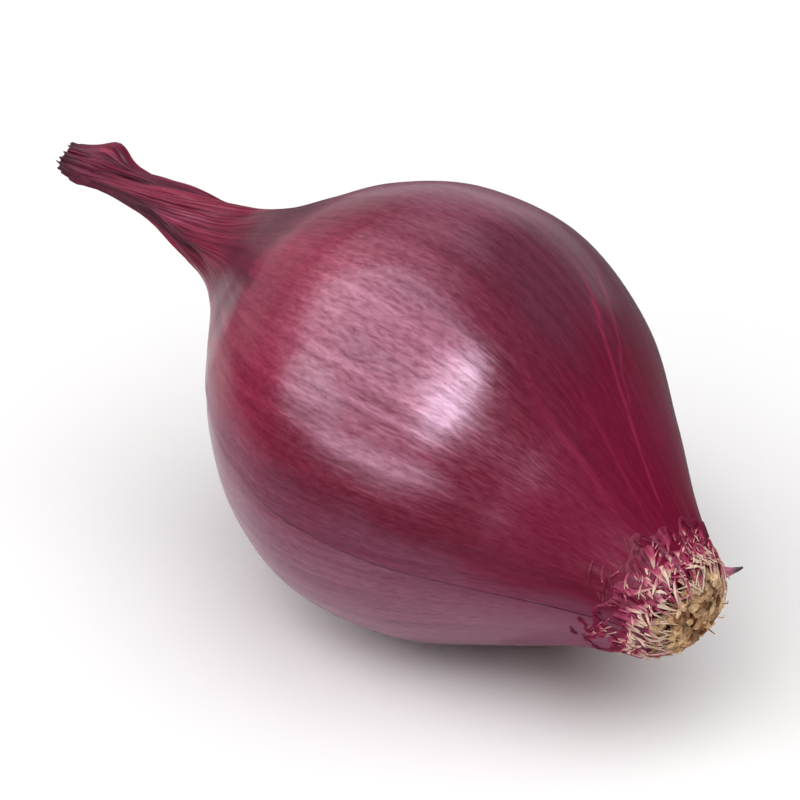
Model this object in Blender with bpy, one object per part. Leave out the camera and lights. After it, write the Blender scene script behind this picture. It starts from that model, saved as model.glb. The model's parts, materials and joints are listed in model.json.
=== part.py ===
"""A small red onion set, lying on its side on a small flat spot.

The set is a bulb whose dry skins run on into a long pinched neck, and a corky root plate
with the curled stubs of its dried roots. Both are shaped standing up, with the root end at
the bottom and the neck at the top, and the whole onion is then laid down.
Lengths are in metres, +Z is up, the root end points along +X and the neck along -X.
"""

import math
import random

import bmesh
import bpy
from mathutils import Matrix, Vector

MM = 0.001

# Bulb: height above the root end and radius of the skin there, in millimetres
OUTLINE = (
    (1.6, 2.65),
    (2.9, 3.25),
    (5.3, 4.65),
    (8.7, 6.95),
    (13.1, 9.65),
    (18.0, 10.85),
    (22.3, 10.10),
    (25.7, 8.15),
    (28.1, 5.95),
    (30.6, 3.65),
    (33.5, 1.95),
    (37.3, 1.10),
    (40.3, 0.85),
    (42.2, 0.85),
    (43.4, 0.75),
)
SKIN_SIDES = 48
RING_STEP = 1.0
RIM_HEIGHT = OUTLINE[0][0]
NECK_END = OUTLINE[-1][0]
TIP_ROUNDING = 0.35

# Bulb: how far the body is from round, as (number of lobes, share of the radius, turn)
LOBES = ((2, 0.012, 0.4), (3, 0.008, 2.1), (5, 0.004, 1.2))

# Bulb: the furrows that gather the skin along the neck and, less deep, round the root end
NECK_FOLDS = 7
NECK_FOLD_DEPTH = 0.34
NECK_FOLD_SINK = 0.35
NECK_FOLD_WANDER = 0.22
NECK_FOLDS_FROM = 26.0
NECK_FOLDS_FULL = 36.0
NECK_TWIST = math.radians(55)
ROOT_FOLDS = 13
ROOT_FOLD_DEPTH = 0.05
ROOT_FOLD_WANDER = 0.10
ROOT_FOLDS_FULL = 2.5
ROOT_FOLDS_TO = 8.0

# Bulb: the edge of the outermost skin, which laps over the one below it down one flank
LAP_ANGLE = math.radians(-92)
LAP_STEP = 0.16
LAP_WIDTH = math.radians(38)
LAP_RISES = (5.0, 9.0)
LAP_FADES = (27.0, 33.0)

# Bulb: the neck's bend, as height and distance from the straight axis, and its direction
NECK_BEND = ((27.0, 0.0), (32.0, 0.0), (38.0, 0.55), (44.5, 2.1))
BEND_UP = -0.51
BEND_ASIDE = -0.86

# Bulb: the folded leaf end that stands up from the neck near its tip
BUMP_HEIGHT = 41.4
BUMP_LENGTH = 0.85
BUMP_ANGLE = math.radians(25)
BUMP_WIDTH = math.radians(42)
BUMP_RISE = 0.75

# Bulb: the socket round the root plate, whose wall is the torn edge of the skins
SOCKET_RADIUS = 2.15
SOCKET_FLOOR = 2.5
SOCKET_TAPER = 0.9
NEAR = 0.01

# Bulb: withered leaf ends at the neck's tip, as (angle round the neck, reach, rise)
LEAF_ENDS = ((0.5, 0.75, 0.05), (2.6, 0.6, 0.0), (-1.7, 0.5, 0.0))

# Bulb: tongues of torn skin, as tiers of (count, height where they leave the skin, length)
SHRED_TIERS = ((17, 2.5, 1.4), (11, 4.3, 1.6))
SHRED_HALF_WIDTH = (0.42, 0.60)
SHRED_HALF_THICKNESS = 0.3
SHRED_LOWEST = 1.0
SHRED_SUNK = (-0.45, -0.14)
SHRED_TIP_RISE = (-0.3, 0.0)

# Bulb: one stiff dry shred that stands out from the rim
SPIKE_ANGLE = math.radians(70)
SPIKE_REACH = 1.4
SPIKE_SLANT = -0.9

# Root plate: a corky disc that stands clear of the socket all round
PLATE_RADIUS = 1.8
PLATE_FACE = 1.0
PLATE_BACK = 2.2
PLATE_SIDES = 30
PLATE_TAPER = 0.15
PLATE_CROWN = 0.45

# Root plate: curled stubs of dried roots spread over the disc, and a few longer threads
STUBS = 40
STUB_HALF_THICKNESS = (0.19, 0.28)
STUB_REACH = (0.4, 0.85)
STUB_CURL = 1.1
STUB_SUNK = 0.35
STUB_STAND = 0.5
STUB_TAPER = (1.15, 1.0, 0.95, 0.7)
ROOT_SIDES = 5
THREAD_ANGLES = (0.7, 1.5, 2.4)
THREAD_HALF_THICKNESS = 0.15
GOLDEN_TURN = math.pi * (3 - math.sqrt(5))
ASLANT = Vector((0.3, 0.9, 0.2))

# Lying down: how far the axis drops towards the root end, where the flat spot lies below
# the axis, and how far below
LEAN = math.radians(11)
REST_HEIGHT_ON_AXIS = 18.1
REST_DEPTH = 10.45

SKIN_SEED = 7
ROOT_SEED = 13


def smooth_through(stations, place):
    """The value at a place on a smooth curve through the stations."""
    last = len(stations) - 1
    index = 0
    while index < last - 1 and place > stations[index + 1][0]:
        index += 1
    (x0, y0), (x1, y1) = stations[index], stations[index + 1]
    before = stations[max(index - 1, 0)]
    after = stations[min(index + 2, last)]
    slope0 = (y1 - before[1]) / (x1 - before[0])
    slope1 = (after[1] - y0) / (after[0] - x0)
    gap = x1 - x0
    share = min(max((place - x0) / gap, 0.0), 1.0)
    return (
        (1 + 2 * share) * (1 - share) ** 2 * y0
        + share * (1 - share) ** 2 * gap * slope0
        + share**2 * (3 - 2 * share) * y1
        + share**2 * (share - 1) * gap * slope1
    )


def ease(start, end, place):
    """0 before the start and 1 after the end, with a smooth way between."""
    share = min(max((place - start) / (end - start), 0.0), 1.0)
    return share * share * (3 - 2 * share)


def turn_from(angle, middle):
    """How far an angle is turned from a middle one, from minus to plus half a turn."""
    return (angle - middle + math.pi) % math.tau - math.pi


def furrows(angle, count, wander):
    """Rounded crests with sharp furrows between them, from -1 to 1, unevenly spaced."""
    uneven = angle + wander * math.sin(angle + 0.8) + wander * 0.5 * math.sin(2 * angle)
    return 1 - 2 * (1 - abs(math.cos(count * uneven / 2))) ** 1.5


def neck_twist(height):
    """How far the neck's furrows are wrung round the axis at a height."""
    return NECK_TWIST * ease(NECK_FOLDS_FROM, NECK_FOLDS_FULL, height)


def skin_radius(height, angle):
    """Distance of the skin from the axis, in millimetres."""
    radius = smooth_through(OUTLINE, height)
    lobes = sum(size * math.cos(count * (angle - turn)) for count, size, turn in LOBES)
    neck = ease(NECK_FOLDS_FROM, NECK_FOLDS_FULL, height)
    root = 1 - ease(ROOT_FOLDS_FULL, ROOT_FOLDS_TO, height)
    wrung = furrows(angle + neck_twist(height), NECK_FOLDS, NECK_FOLD_WANDER)
    neck_fold = NECK_FOLD_DEPTH * neck * (wrung - NECK_FOLD_SINK)
    root_fold = ROOT_FOLD_DEPTH * root * furrows(angle, ROOT_FOLDS, ROOT_FOLD_WANDER)
    past_edge = (angle - LAP_ANGLE) % math.tau
    lap = LAP_STEP * math.exp(-past_edge / LAP_WIDTH)
    lap *= ease(*LAP_RISES, height) * (1 - ease(*LAP_FADES, height))
    along = (height - BUMP_HEIGHT) / BUMP_LENGTH
    across = turn_from(angle, BUMP_ANGLE) / BUMP_WIDTH
    bump = BUMP_RISE * math.exp(-(along**2) - across**2)
    return radius * (1 + lobes + neck_fold + root_fold) + lap + bump


def axis_point(height):
    """The middle of the bulb at a height, in millimetres: straight, and bent along the neck."""
    bend = smooth_through(NECK_BEND, height) if height > NECK_BEND[0][0] else 0.0
    return Vector((BEND_UP * bend, BEND_ASIDE * bend, height))


def skin_point(height, angle, rise=0.0):
    """A point on the skin, or this far above it, in metres."""
    out = Vector((math.cos(angle), math.sin(angle), 0))
    return (axis_point(height) + out * (skin_radius(height, angle) + rise)) * MM


def laid_down():
    """The onion's place: turned so that its axis is nearly level, flat spot at the origin."""
    turn = Matrix.Rotation(LEAN - math.pi / 2, 4, "Y")
    lift = Matrix.Translation((0, 0, REST_DEPTH * MM))
    return lift @ turn @ Matrix.Translation((0, 0, -REST_HEIGHT_ON_AXIS * MM))


def finish(name, colour, roughness):
    material = bpy.data.materials.new(name)
    material.use_nodes = True
    shader = material.node_tree.nodes["Principled BSDF"]
    shader.inputs["Base Color"].default_value = (*colour, 1)
    shader.inputs["Roughness"].default_value = roughness
    shader.inputs["Metallic"].default_value = 0.0
    return material


def new_object(name, bm):
    """An object from a bmesh, shaded smooth but for its sharp edges."""
    bmesh.ops.recalc_face_normals(bm, faces=bm.faces)
    mesh = bpy.data.meshes.new(name)
    bm.to_mesh(mesh)
    bm.free()
    mesh.shade_smooth()
    mesh.set_sharp_from_angle(angle=math.radians(50))
    made = bpy.data.objects.new(name, mesh)
    bpy.context.scene.collection.objects.link(made)
    return made


def swept(name, path, sizes, side, sides=6):
    """A closed shape along a path, in metres: sizes are its half width and half thickness
    at each point, and side is the direction of its width."""
    frames = []
    for index, point in enumerate(path):
        ahead = path[min(index + 1, len(path) - 1)]
        behind = path[max(index - 1, 0)]
        along = (ahead - behind).normalized()
        across = (side - along * side.dot(along)).normalized()
        thick = along.cross(across)
        width, thickness = sizes[index]
        turn = Matrix((across, thick, along)).transposed().to_4x4()
        frames.append(Matrix.Translation(point) @ turn @ Matrix.Diagonal((width, thickness, 1, 1)))
    bm = bmesh.new()
    bmesh.ops.create_circle(bm, segments=sides, radius=1, matrix=frames[0])
    ring = list(bm.edges)
    bmesh.ops.contextual_create(bm, geom=ring)
    for before, frame in zip(frames, frames[1:]):
        grown = bmesh.ops.extrude_edge_only(bm, edges=ring)["geom"]
        ring = [item for item in grown if isinstance(item, bmesh.types.BMEdge)]
        verts = [item for item in grown if isinstance(item, bmesh.types.BMVert)]
        bmesh.ops.transform(bm, matrix=frame @ before.inverted(), verts=verts)
    bmesh.ops.contextual_create(bm, geom=ring)
    return new_object(name, bm)


def keep_outer_shell(mesh):
    """Drops every shell but the largest, so that a hollow sealed by the union is filled."""
    bm = bmesh.new()
    bm.from_mesh(mesh)
    left = set(bm.verts)
    shells = []
    while left:
        shell = set()
        to_visit = [left.pop()]
        while to_visit:
            vert = to_visit.pop()
            shell.add(vert)
            found = {edge.other_vert(vert) for edge in vert.link_edges} & left
            left -= found
            to_visit += found
        shells.append(shell)
    outer = max(shells, key=len)
    loose = [vert for shell in shells if shell is not outer for vert in shell]
    bmesh.ops.delete(bm, geom=loose, context="VERTS")
    bm.to_mesh(mesh)
    bm.free()


def fuse(body, pieces, solver="EXACT"):
    """Joins the pieces to the body with one Boolean union, and removes them."""
    group = bpy.data.collections.new(body.name + "_repeats")
    bpy.context.scene.collection.children.link(group)
    for piece in pieces:
        bpy.context.scene.collection.objects.unlink(piece)
        group.objects.link(piece)
    union = body.modifiers.new("repeats", "BOOLEAN")
    union.operation = "UNION"
    union.operand_type = "COLLECTION"
    union.collection = group
    union.solver = solver
    graph = bpy.context.evaluated_depsgraph_get()
    fused = bpy.data.meshes.new_from_object(body.evaluated_get(graph))
    body.modifiers.remove(union)
    keep_outer_shell(fused)
    body.data = fused
    for piece in pieces:
        bpy.data.objects.remove(piece)
    bpy.data.collections.remove(group)


def turned_bulb():
    """The bulb and neck: a turned outline, pushed out or in at every point of the skin."""
    rings = round((NECK_END - RIM_HEIGHT) / RING_STEP)
    heights = [RIM_HEIGHT + (NECK_END - RIM_HEIGHT) * step / rings for step in range(rings + 1)]
    floor_radius = SOCKET_RADIUS * SOCKET_TAPER
    outline = [(0, SOCKET_FLOOR), (floor_radius, SOCKET_FLOOR), (SOCKET_RADIUS, RIM_HEIGHT)]
    outline += [(smooth_through(OUTLINE, height), height) for height in heights]
    outline += [(0, NECK_END + TIP_ROUNDING)]
    bm = bmesh.new()
    profile = [bm.verts.new((radius * MM, 0, height * MM)) for radius, height in outline]
    edges = [bm.edges.new(pair) for pair in zip(profile, profile[1:])]
    bmesh.ops.spin(
        bm,
        geom=profile + edges,
        cent=(0, 0, 0),
        axis=(0, 0, 1),
        angle=math.tau,
        steps=SKIN_SIDES,
        use_merge=True,
    )
    bmesh.ops.remove_doubles(bm, verts=bm.verts, dist=1e-6)
    for vert in bm.verts:
        height = vert.co.z / MM
        away = vert.co.xy.length / MM
        angle = math.atan2(vert.co.y, vert.co.x)
        in_socket = height <= SOCKET_FLOOR + NEAR and away <= SOCKET_RADIUS + NEAR
        if height > NECK_END and away < NEAR:
            vert.co = axis_point(height) * MM
        elif not in_socket:
            vert.co = skin_point(height, angle - neck_twist(height))
    return bm


def cut_flat_spot(bm):
    """Takes off the low belly along the surface that the onion lies on."""
    up = laid_down().inverted()
    cut = bmesh.ops.bisect_plane(
        bm,
        geom=bm.verts[:] + bm.edges[:] + bm.faces[:],
        dist=1e-7,
        plane_co=up @ Vector((0, 0, 0)),
        plane_no=up.to_3x3() @ Vector((0, 0, 1)),
        clear_inner=True,
    )
    rim = [item for item in cut["geom_cut"] if isinstance(item, bmesh.types.BMEdge)]
    flat = bmesh.ops.contextual_create(bm, geom=rim)["faces"]
    bmesh.ops.poke(bm, faces=flat)


def round_the_axis(angle):
    """The direction that goes round the axis at an angle."""
    return Vector((-math.sin(angle), math.cos(angle), 0))


def skin_shreds(draw):
    """Torn tongues of skin round the root end, sunk in it, with their tips a little lifted."""
    shreds = []
    thick = SHRED_HALF_THICKNESS * MM
    for tier, (count, low, length) in enumerate(SHRED_TIERS):
        for index in range(count):
            angle = math.tau * (index + draw.uniform(-0.25, 0.25)) / count
            start = low + draw.uniform(-0.3, 0.5)
            end = max(start - length * draw.uniform(0.8, 1.15), SHRED_LOWEST)
            tip_angle = angle + draw.uniform(-0.12, 0.12)
            path = [
                skin_point(start + 0.7, angle, SHRED_SUNK[0]),
                skin_point(start * 0.65 + end * 0.35, angle, SHRED_SUNK[1]),
                skin_point(end, tip_angle, draw.uniform(*SHRED_TIP_RISE)),
            ]
            half = draw.uniform(*SHRED_HALF_WIDTH) * MM
            sizes = [(half, thick), (half * 0.9, thick), (half * 0.5, thick)]
            shreds.append(swept(f"shred_{tier}_{index}", path, sizes, round_the_axis(angle)))
    return shreds


def dry_spike():
    """One stiff dry shred that stands out from the rim."""
    out = Vector((math.cos(SPIKE_ANGLE), math.sin(SPIKE_ANGLE), SPIKE_SLANT)).normalized() * MM
    foot = skin_point(RIM_HEIGHT + 0.1, SPIKE_ANGLE, -0.3)
    path = [foot, foot + out * SPIKE_REACH * 0.5, foot + out * SPIKE_REACH]
    sizes = [(0.4 * MM, 0.35 * MM), (0.32 * MM, 0.3 * MM), (0.14 * MM, 0.14 * MM)]
    return swept("spike", path, sizes, round_the_axis(SPIKE_ANGLE))


def leaf_ends():
    """Withered leaf ends that run on past the neck's tip."""
    ends = []
    for angle, reach, rise in LEAF_ENDS:
        out = Vector((math.cos(angle), math.sin(angle), 0))
        foot = axis_point(NECK_END - 1.2) + out * 0.35
        tip = axis_point(NECK_END) + out * 0.4
        end = tip + Vector((rise, 0, reach))
        path = [foot * MM, tip * MM, end * MM]
        sizes = [(0.5 * MM, 0.32 * MM), (0.55 * MM, 0.32 * MM), (0.3 * MM, 0.3 * MM)]
        ends.append(swept(f"leaf_end_{len(ends)}", path, sizes, round_the_axis(angle)))
    return ends


def make_bulb():
    draw = random.Random(SKIN_SEED)
    bm = turned_bulb()
    cut_flat_spot(bm)
    bulb = new_object("bulb", bm)
    fuse(bulb, skin_shreds(draw) + [dry_spike()] + leaf_ends())
    bulb.data.materials.clear()
    bulb.data.materials.append(finish("dry_wine_red_skin", (0.25, 0.025, 0.07), 0.34))
    return bulb


def plate_point(away, angle, height):
    return Vector((away * math.cos(angle), away * math.sin(angle), height)) * MM


def root_stubs(draw):
    """Stubs of dried roots all over the disc, each curled over outwards or round."""
    stubs = []
    for index in range(STUBS):
        away = PLATE_RADIUS * 0.88 * math.sqrt((index + 0.5) / STUBS)
        angle = index * GOLDEN_TURN
        curl = angle + draw.uniform(-STUB_CURL, STUB_CURL)
        reach = draw.uniform(*STUB_REACH)
        half = draw.uniform(*STUB_HALF_THICKNESS)
        out = Vector((math.cos(curl), math.sin(curl), 0)) * MM
        foot = plate_point(away, angle, PLATE_FACE + STUB_SUNK)
        neck = plate_point(away, angle, PLATE_FACE - STUB_STAND)
        peak = neck + out * reach * 0.5 + Vector((0, 0, -draw.uniform(0.1, 0.3))) * MM
        end = peak + out * reach * 0.5 + Vector((0, 0, draw.uniform(-0.3, 0.25))) * MM
        sizes = [(size * half * MM, size * half * MM) for size in STUB_TAPER]
        path = [foot, neck, peak, end]
        stubs.append(swept(f"stub_{index}", path, sizes, ASLANT, ROOT_SIDES))
    return stubs


def root_threads(draw):
    """Thin dried roots that trail out from under the stubs."""
    threads = []
    half = THREAD_HALF_THICKNESS * MM
    for index, angle in enumerate(THREAD_ANGLES):
        bend = draw.uniform(-0.35, 0.35)
        path = [
            plate_point(1.1, angle, PLATE_FACE + 0.3),
            plate_point(1.4, angle, PLATE_FACE - 0.6),
            plate_point(2.1, angle + bend * 0.5, PLATE_FACE - 0.9),
            plate_point(2.6, angle + bend, PLATE_FACE - 0.8 + draw.uniform(-0.4, 0.1)),
        ]
        sizes = [(half, half)] * 4
        threads.append(swept(f"thread_{index}", path, sizes, ASLANT, ROOT_SIDES))
    return threads


def make_root_plate():
    draw = random.Random(ROOT_SEED)
    bm = bmesh.new()
    middle = (PLATE_FACE + PLATE_BACK) / 2
    bmesh.ops.create_cone(
        bm,
        cap_ends=True,
        segments=PLATE_SIDES,
        radius1=(PLATE_RADIUS - PLATE_TAPER) * MM,
        radius2=PLATE_RADIUS * MM,
        depth=(PLATE_BACK - PLATE_FACE) * MM,
        matrix=Matrix.Translation((0, 0, middle * MM)),
    )
    face = min(bm.faces, key=lambda item: item.calc_center_median().z)
    crown = bmesh.ops.poke(bm, faces=[face])["verts"]
    bmesh.ops.translate(bm, verts=crown, vec=(0, 0, -PLATE_CROWN * MM))
    plate = new_object("root_plate", bm)
    # So many stubs cross each other that only the manifold solver joins them cleanly
    fuse(plate, root_stubs(draw) + root_threads(draw), "MANIFOLD")
    plate.data.materials.clear()
    plate.data.materials.append(finish("dry_tan_cork", (0.45, 0.29, 0.14), 0.8))
    return plate


def main():
    for old in list(bpy.data.objects):
        bpy.data.objects.remove(old)
    onion = bpy.data.objects.new("onion", None)
    bpy.context.scene.collection.objects.link(onion)
    onion.matrix_world = laid_down()
    for piece in (make_bulb(), make_root_plate()):
        piece.parent = onion
    bpy.context.view_layer.update()


main()
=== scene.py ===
# %% [markdown]
# # A small red onion set
#
# An onion set is a little bulb that was sown thickly, lifted small and dried, so that it can be
# planted the next spring. This one lies on its side: dry wine-red skins, a long pinched neck at
# one end, and at the other the corky root plate with what is left of its roots. The solids of the
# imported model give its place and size. This script dresses them.

# %% Load the solids
import json
import math
import random

import bmesh
import bpy
from mathutils import Matrix, Vector, noise

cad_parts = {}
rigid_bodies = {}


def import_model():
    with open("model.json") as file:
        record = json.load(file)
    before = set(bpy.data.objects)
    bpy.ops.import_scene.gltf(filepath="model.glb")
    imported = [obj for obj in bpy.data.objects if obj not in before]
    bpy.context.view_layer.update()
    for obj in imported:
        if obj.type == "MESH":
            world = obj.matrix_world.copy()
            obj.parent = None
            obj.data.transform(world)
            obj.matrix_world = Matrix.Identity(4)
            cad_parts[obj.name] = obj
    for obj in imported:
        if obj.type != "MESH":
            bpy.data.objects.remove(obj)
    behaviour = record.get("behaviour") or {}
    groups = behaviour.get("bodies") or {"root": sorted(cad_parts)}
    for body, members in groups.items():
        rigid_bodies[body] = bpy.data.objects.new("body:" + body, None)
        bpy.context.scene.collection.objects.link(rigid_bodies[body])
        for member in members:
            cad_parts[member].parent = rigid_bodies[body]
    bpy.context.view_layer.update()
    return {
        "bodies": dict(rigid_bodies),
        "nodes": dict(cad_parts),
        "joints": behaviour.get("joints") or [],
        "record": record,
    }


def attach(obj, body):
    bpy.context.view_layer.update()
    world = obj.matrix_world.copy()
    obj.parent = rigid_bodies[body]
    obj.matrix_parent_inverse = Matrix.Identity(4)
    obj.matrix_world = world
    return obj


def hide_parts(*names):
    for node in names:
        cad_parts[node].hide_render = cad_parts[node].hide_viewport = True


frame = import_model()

MM = 0.001

# %% [markdown]
# ## The shape of the skin
#
# A bulb is nearly a turned form: dry scales are wrapped round the young shoot, and together they
# make a pear with a long neck. It could be sculpted, or made of stacked rings. Here it is turned
# from one outline, and every point of the skin is then pushed out or in by a formula of its
# height above the root end and its angle round the axis, because the same formula also tells
# where shreds and fibres grow from. The numbers are those of the solid, in millimetres.

# %% The outline and how the bulb lies
OUTLINE = (
    (1.6, 2.65),
    (2.9, 3.25),
    (5.3, 4.65),
    (8.7, 6.95),
    (13.1, 9.65),
    (18.0, 10.85),
    (22.3, 10.10),
    (25.7, 8.15),
    (28.1, 5.95),
    (30.6, 3.65),
    (33.5, 1.95),
    (37.3, 1.10),
    (40.3, 0.85),
    (42.2, 0.85),
    (43.4, 0.75),
)
RIM_HEIGHT = OUTLINE[0][0]
NECK_END = OUTLINE[-1][0]
BELLY_HEIGHT, BELLY_RADIUS = max(OUTLINE, key=lambda station: station[1])
LEAN = math.radians(11)
REST_HEIGHT_ON_AXIS = 18.1
REST_DEPTH = 10.45

LAID_DOWN = (
    Matrix.Translation((0, 0, REST_DEPTH * MM))
    @ Matrix.Rotation(LEAN - math.pi / 2, 4, "Y")
    @ Matrix.Translation((0, 0, -REST_HEIGHT_ON_AXIS * MM))
)


def smooth_through(stations, place):
    """The value at a place on a smooth curve through the stations."""
    last = len(stations) - 1
    index = 0
    while index < last - 1 and place > stations[index + 1][0]:
        index += 1
    (x0, y0), (x1, y1) = stations[index], stations[index + 1]
    before = stations[max(index - 1, 0)]
    after = stations[min(index + 2, last)]
    slope0 = (y1 - before[1]) / (x1 - before[0])
    slope1 = (after[1] - y0) / (after[0] - x0)
    gap = x1 - x0
    share = min(max((place - x0) / gap, 0.0), 1.0)
    return (
        (1 + 2 * share) * (1 - share) ** 2 * y0
        + share * (1 - share) ** 2 * gap * slope0
        + share**2 * (3 - 2 * share) * y1
        + share**2 * (share - 1) * gap * slope1
    )


def ease(start, end, place):
    """0 before the start and 1 after the end, with a smooth way between."""
    share = min(max((place - start) / (end - start), 0.0), 1.0)
    return share * share * (3 - 2 * share)


def polar(away, angle, height):
    """The point at a distance from the axis, an angle round it and a height."""
    return Vector((away * math.cos(angle), away * math.sin(angle), height))


print("widest radius", BELLY_RADIUS, "mm at height", BELLY_HEIGHT, "of", NECK_END, "mm")

# %% [markdown]
# ## Furrows, folds and the lapped edge
#
# Where the skins are gathered they fold: deep wrung furrows along the neck, and small ribs round
# the root end. The outermost skin doesn't reach all the way round, so its edge makes a low step
# down one flank. Bump alone would leave the outline smooth, so these forms are in the mesh. The
# neck's furrows are wrung by turning the columns of the mesh with them, which keeps them crisp.

# %% Furrows and folds
# Neck folds: number round the neck, drift as the height goes up, depth
NECK_FOLDS = ((9, 0.16, 0.28), (19, 0.22, 0.12), (41, 0.4, 0.04))
NECK_FOLD_SINK = 0.45
NECK_FOLDS_FROM = 30.5
NECK_FOLDS_FULL = 37.0
NECK_TWIST = math.radians(80)
NECK_TWIST_FROM = 29.5
NECK_TWIST_TO = 43.0
FINER_CREASES = 0.7
# Root folds: number round the root end, depth
ROOT_FOLDS = ((13, 0.025), (41, 0.006))
ROOT_FOLDS_FULL = 1.6
ROOT_FOLDS_TO = 5.5
FURROW_WANDER = 0.10
FURROW_TURN = 0.8
FURROW_SHARPNESS = 1.5
CREASE_GAIN = 2.6


def furrows(angle, count):
    """Rounded crests with sharp furrows between them, from -1 to 1, unevenly spaced."""
    uneven = angle + FURROW_WANDER * math.sin(angle + FURROW_TURN)
    uneven += FURROW_WANDER * 0.5 * math.sin(2 * angle)
    return 1 - 2 * (1 - abs(math.cos(count * uneven / 2))) ** FURROW_SHARPNESS


def creases(angle, height, count, drift):
    """Swellings with sharp creases between them, from 0 to 1. They drift as the height goes up."""
    reach = count / math.tau
    spot = polar(reach, angle, height * drift)
    return min(CREASE_GAIN * abs(noise.noise(spot)), 1.0)


def neck_twist(height):
    """How far the neck's furrows are wrung round the axis at a height."""
    return NECK_TWIST * ease(NECK_TWIST_FROM, NECK_TWIST_TO, height)


def neck_crease(height, column):
    """How deep in the neck's larger creases a place lies, from 0 to 1."""
    gathered = ease(NECK_FOLDS_FROM, NECK_FOLDS_FULL, height)
    if gathered == 0:
        return 0.0
    large, finer = [1 - creases(column, height, count, drift) for count, drift, _ in NECK_FOLDS[:2]]
    return gathered * (large + FINER_CREASES * finer) / (1 + FINER_CREASES)


print("the neck is wrung by", round(math.degrees(neck_twist(NECK_END))), "degrees")

# %% The surface of the skin
# Lobes: number round the bulb, size as a share of the radius, turn
LOBES = ((2, 0.012, 0.4), (3, 0.008, 2.1), (5, 0.004, 1.2))
LAP_ANGLE = math.radians(-92)
LAP_STEP = 0.16
LAP_WIDTH = math.radians(38)
LAP_RISES = (5.0, 9.0)
LAP_FADES = (27.0, 33.0)
# Neck bend: height, and how far the axis has moved there
NECK_BEND = ((27.0, 0.0), (32.0, 0.0), (38.0, 0.55), (44.5, 2.1))
BEND_UP = -0.51
BEND_ASIDE = -0.86
BUMP_HEIGHT = 41.4
BUMP_LENGTH = 0.85
BUMP_ANGLE = math.radians(25)
BUMP_WIDTH = math.radians(42)
BUMP_RISE = 0.75
DENT_SIZE = 4.5
DENT_DEPTH = 0.05


def turn_from(angle, middle):
    """How far an angle is turned from a middle one, from minus to plus half a turn."""
    return (angle - middle + math.pi) % math.tau - math.pi


def skin_radius(height, column):
    """Distance of the skin from the axis in millimetres. A column follows the furrows up the neck."""
    angle = column - neck_twist(height)
    lobes = sum(size * math.cos(count * (angle - turn)) for count, size, turn in LOBES)
    neck = ease(NECK_FOLDS_FROM, NECK_FOLDS_FULL, height)
    root = 1 - ease(ROOT_FOLDS_FULL, ROOT_FOLDS_TO, height)
    neck_fold = sum(
        depth * (creases(column, height, count, drift) - NECK_FOLD_SINK)
        for count, drift, depth in NECK_FOLDS
    )
    root_fold = sum(depth * furrows(angle, count) for count, depth in ROOT_FOLDS)
    past_edge = (column - LAP_ANGLE) % math.tau
    lap = LAP_STEP * math.exp(-past_edge / LAP_WIDTH)
    lap *= ease(*LAP_RISES, height) * (1 - ease(*LAP_FADES, height))
    along = (height - BUMP_HEIGHT) / BUMP_LENGTH
    across = turn_from(angle, BUMP_ANGLE) / BUMP_WIDTH
    bump = BUMP_RISE * math.exp(-(along**2) - across**2)
    radius = smooth_through(OUTLINE, height)
    dent = DENT_DEPTH * noise.noise(polar(radius, angle, height) / DENT_SIZE)
    return radius * (1 + lobes + neck * neck_fold + root * root_fold) + lap + bump + dent


def axis_point(height):
    """The middle of the bulb at a height, in millimetres: straight, and bent along the neck."""
    bend = smooth_through(NECK_BEND, height) if height > NECK_BEND[0][0] else 0.0
    return Vector((BEND_UP * bend, BEND_ASIDE * bend, height))


def skin_point(height, column, rise=0.0):
    """A point on the skin, or this far above it, in metres, before the onion is laid down."""
    angle = column - neck_twist(height)
    out = polar(1, angle, 0)
    return (axis_point(height) + out * (skin_radius(height, column) + rise)) * MM


edge_point = LAID_DOWN @ skin_point(BELLY_HEIGHT, LAP_ANGLE)
print("the lapped edge passes", [round(value / MM, 2) for value in edge_point], "mm")

# %% [markdown]
# ## The skin
#
# The dry skin is one closed sheet round the bulb, from the rim of the root end to the tip of the
# neck. The outline is spun round the axis in 256 steps, which leaves a quad of about a quarter
# of a millimetre at the belly, and each vertex is then put on the formula's surface. The column
# next to the lapped edge is moved close to it, so the step is steep. The low belly is cut off
# flat where the onion lies. Two things are written on the mesh for the finish: how far round and
# how high each corner is, and a grain vector that winds a little round the bulb, as the veins do.

# %% Turn the outline
SKIN_STEPS = 256
RING_STEP = 0.25
TIP_HOLLOW = 0.6
SOCKET_RADIUS = 2.15
SOCKET_FLOOR = 2.5
SOCKET_TAPER = 0.9
NEAR = 0.01
NEAR_TURN = 1e-4
COLUMN_TURN = math.tau / SKIN_STEPS
EDGE_GAP = math.radians(0.3)
ON_AXIS = -1.0
SAME_PLACE = 1e-6
SAME_LEVEL = 1e-7


def spin_profile(bm, profile, steps, same_place):
    """Joins the points of a profile, spins it once round the axis, and closes its seam and poles."""
    edges = [bm.edges.new(pair) for pair in zip(profile, profile[1:])]
    bmesh.ops.spin(
        bm,
        geom=profile + edges,
        cent=(0, 0, 0),
        axis=(0, 0, 1),
        angle=math.tau,
        steps=steps,
        use_merge=True,
    )
    bmesh.ops.remove_doubles(bm, verts=bm.verts, dist=same_place)
    bmesh.ops.recalc_face_normals(bm, faces=bm.faces)


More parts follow.
